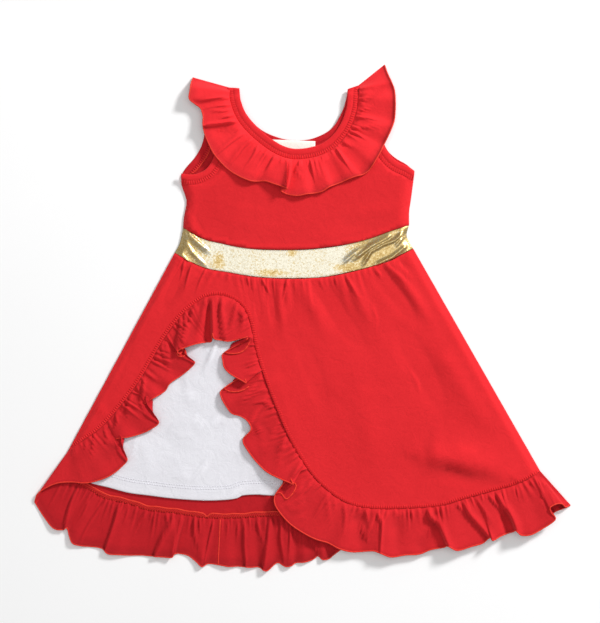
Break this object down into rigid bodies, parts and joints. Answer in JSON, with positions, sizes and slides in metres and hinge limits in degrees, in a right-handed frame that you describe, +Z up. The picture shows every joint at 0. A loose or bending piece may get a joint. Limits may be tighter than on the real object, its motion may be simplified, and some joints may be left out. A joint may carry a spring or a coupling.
{
  "type": "child's princess costume dress",
  "caption": "Sleeveless costume dress laid flat: ruffled round neck, metallic waistband, gathered skirt with an off-centre arch over a white underskirt, and ruffled hems.",
  "frame": {"origin": "under the middle of the dress's bounding box, on the surface that it lies on", "axes": "+Z up out of the dress's front, which faces up; +X across the dress, from its right sleeve side to its left one as worn; +Y from the hem towards the neck"},
  "size_m": [0.6289, 0.5933, 0.0142],
  "materials": {
    "red_jersey": "matt cotton jersey",
    "white_jersey": "matt cotton jersey",
    "gold_lame": "foil printed jersey, shiny",
    "label_tape": "woven satin tape"
  },
  "bodies": {
    "root": {"bodice_back": "red_jersey", "bodice_front": "red_jersey", "neck_binding_back": "red_jersey", "neck_binding_front": "red_jersey", "armhole_binding_left_back": "red_jersey", "armhole_binding_left_front": "red_jersey", "armhole_binding_right_back": "red_jersey", "armhole_binding_right_front": "red_jersey", "neck_ruffle_back": "red_jersey", "neck_ruffle_front": "red_jersey", "neck_label": "label_tape", "waistband_back": "gold_lame", "waistband_front": "gold_lame", "skirt_back": "red_jersey", "underskirt_front": "white_jersey", "skirt_front": "red_jersey", "skirt_ruffle_back": "red_jersey", "skirt_ruffle_front": "red_jersey"}
  },
  "joints": []
}
